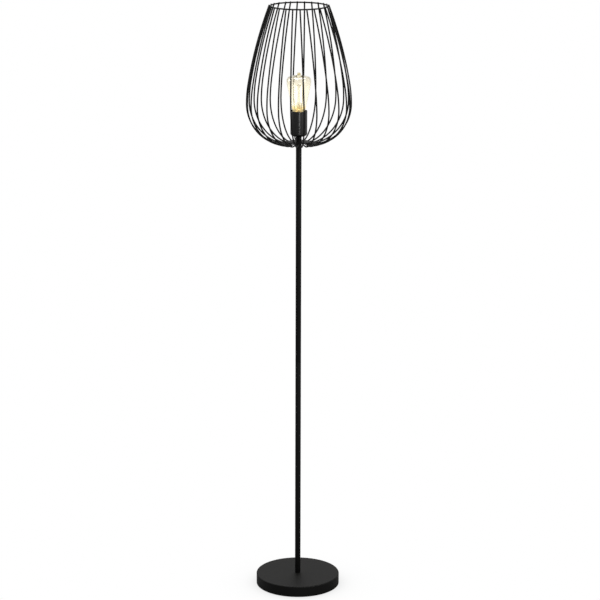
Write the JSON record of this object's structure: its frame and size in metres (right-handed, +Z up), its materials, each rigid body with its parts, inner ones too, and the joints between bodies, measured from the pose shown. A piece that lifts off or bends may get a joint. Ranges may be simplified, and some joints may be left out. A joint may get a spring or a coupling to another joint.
{
  "type": "floor lamp",
  "caption": "Free-standing floor lamp: a weighted disc base, a thin straight pole and an open, egg-shaped cage of bent wires around a bare screw-in bulb.",
  "frame": {"origin": "middle of the felt pad's underside, where the lamp stands on the floor", "axes": "+Z up along the pole; -Y the front, +Y the back with the cord inlet; +X to the right seen from the front"},
  "size_m": [0.2764, 0.2754, 1.5838],
  "materials": {
    "black_powder_coat": "matte black powder coat on steel",
    "felt": "dense black felt",
    "zinc_steel": "zinc plated steel",
    "cast_iron": "raw sand-cast iron",
    "black_rubber": "moulded rubber",
    "terminal_plastic": "natural nylon",
    "lead_jacket": "black PVC jacket",
    "core_insulation": "PVC core insulation",
    "black_phenolic": "moulded phenolic",
    "white_ceramic": "glazed steatite ceramic, gloss plastic stands in",
    "brass": "rolled brass",
    "bronze": "spring bronze, brass stands in",
    "bulb_glass": "warm tinted clear glass",
    "black_glass": "black vitrite glass, gloss plastic stands in",
    "solder": "tin solder",
    "stem_glass": "clear lead glass",
    "light_strip": "yellow phosphor resin over a metal strip"
  },
  "bodies": {
    "lamp": {"felt_pad": "felt", "base_plate": "zinc_steel", "base_plate_screws": "zinc_steel", "base_weight": "cast_iron", "base_cover": "black_powder_coat", "cord_gland": "black_rubber", "terminal_block": "terminal_plastic", "terminal_block_screws": "zinc_steel", "base_nipple": "zinc_steel", "base_washer": "zinc_steel", "hex_nuts": "black_powder_coat", "pole_lower": "black_powder_coat", "pole_upper": "black_powder_coat", "pole_bushings": "zinc_steel", "pole_coupler": "zinc_steel", "inner_lead": "lead_jacket", "lead_cores": "core_insulation", "top_nipple": "zinc_steel", "hub_plate": "black_powder_coat", "neck_spacer": "black_powder_coat", "rim_ring": "black_powder_coat", "holder_cup": "black_powder_coat", "holder_body": "black_phenolic", "holder_core": "white_ceramic", "thread_shell": "brass", "centre_contact": "bronze", "holder_terminal_screws": "brass", "cage_wire_01": "black_powder_coat", "cage_wire_02": "black_powder_coat", "cage_wire_03": "black_powder_coat", "cage_wire_04": "black_powder_coat", "cage_wire_05": "black_powder_coat", "cage_wire_06": "black_powder_coat", "cage_wire_07": "black_powder_coat", "cage_wire_08": "black_powder_coat", "cage_wire_09": "black_powder_coat", "cage_wire_10": "black_powder_coat", "cage_wire_11": "black_powder_coat", "cage_wire_12": "black_powder_coat", "cage_wire_13": "black_powder_coat", "cage_wire_14": "black_powder_coat", "cage_wire_15": "black_powder_coat", "cage_wire_16": "black_powder_coat", "cage_wire_17": "black_powder_coat", "cage_wire_18": "black_powder_coat", "cage_wire_19": "black_powder_coat", "cage_wire_20": "black_powder_coat", "cage_wire_21": "black_powder_coat", "cage_wire_22": "black_powder_coat", "cage_wire_23": "black_powder_coat", "cage_wire_24": "black_powder_coat", "cage_wire_25": "black_powder_coat", "cage_wire_26": "black_powder_coat"},
    "bulb_seal": {"bulb_insulator": "black_glass", "bulb_tip": "solder"},
    "bulb": {"bulb_cap": "brass", "bulb_glass": "bulb_glass", "bulb_stem": "stem_glass", "bulb_filaments": "light_strip"}
  },
  "joints": [
    {"name": "bulb_rise", "type": "slide", "parent": "lamp", "child": "bulb_seal", "axis": [0, 0, 1], "range_m": [0, 0.0182]},
    {"name": "bulb_turn", "type": "hinge", "parent": "bulb_seal", "child": "bulb", "pos_m": [0, 0, 1.26665], "axis": [0, 0, 1], "range_deg": [0, 1800]}
  ],
  "couplings": [
    {"joint": "bulb_rise", "follows": "bulb_turn", "m_per_rad": 0.00057757}
  ]
}
